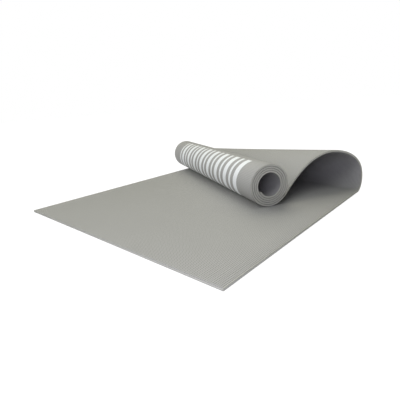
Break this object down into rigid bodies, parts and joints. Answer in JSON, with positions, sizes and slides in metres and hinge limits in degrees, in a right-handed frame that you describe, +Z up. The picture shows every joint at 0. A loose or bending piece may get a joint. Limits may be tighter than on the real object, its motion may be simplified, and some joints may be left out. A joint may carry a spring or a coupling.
{
  "type": "exercise mat",
  "caption": "Laminated foam exercise mat, half unrolled: a flat run lifts into a slanted fold that turns back and winds into a roll lying on it.",
  "frame": {"origin": "on the underside of the flat run, in the middle of its width, 270 mm from the free short end", "axes": "+Z up from the floor, +X along the mat from its free short end towards the fold, +Y across the width to the long edge over which the roll sticks out"},
  "size_m": [0.7584, 0.678, 0.1022],
  "materials": {
    "foam": "matt light grey closed-cell foam with a fine embossed grain",
    "scrim": "off-white woven reinforcement"
  },
  "bodies": {
    "flat_run": {"flat_base_foam": "foam", "flat_scrim": "scrim", "flat_top_foam": "foam"},
    "fold_loop": {"fold_base_foam": "foam", "fold_scrim": "scrim", "fold_top_foam": "foam"},
    "roll_run": {"web_base_foam": "foam", "web_scrim": "scrim", "web_top_foam": "foam", "roll_base_foam": "foam", "roll_scrim": "scrim", "roll_top_foam": "foam"}
  },
  "joints": [
    {"name": "fold_lower", "type": "hinge", "parent": "flat_run", "child": "fold_loop", "pos_m": [0.3815, 0.001, 0.015], "axis": [0.2745, 0.9615, -0.0095], "range_deg": [0, 65], "deforming": ["fold_base_foam", "fold_scrim", "fold_top_foam"]},
    {"name": "fold_upper", "type": "hinge", "parent": "fold_loop", "child": "roll_run", "pos_m": [0.36385, 0.039, 0.0625], "axis": [0.2906, 0.9534, -0.0813], "range_deg": [0, 65]}
  ],
  "couplings": [
    {"joint": "fold_upper", "follows": "fold_lower", "ratio": 1}
  ]
}
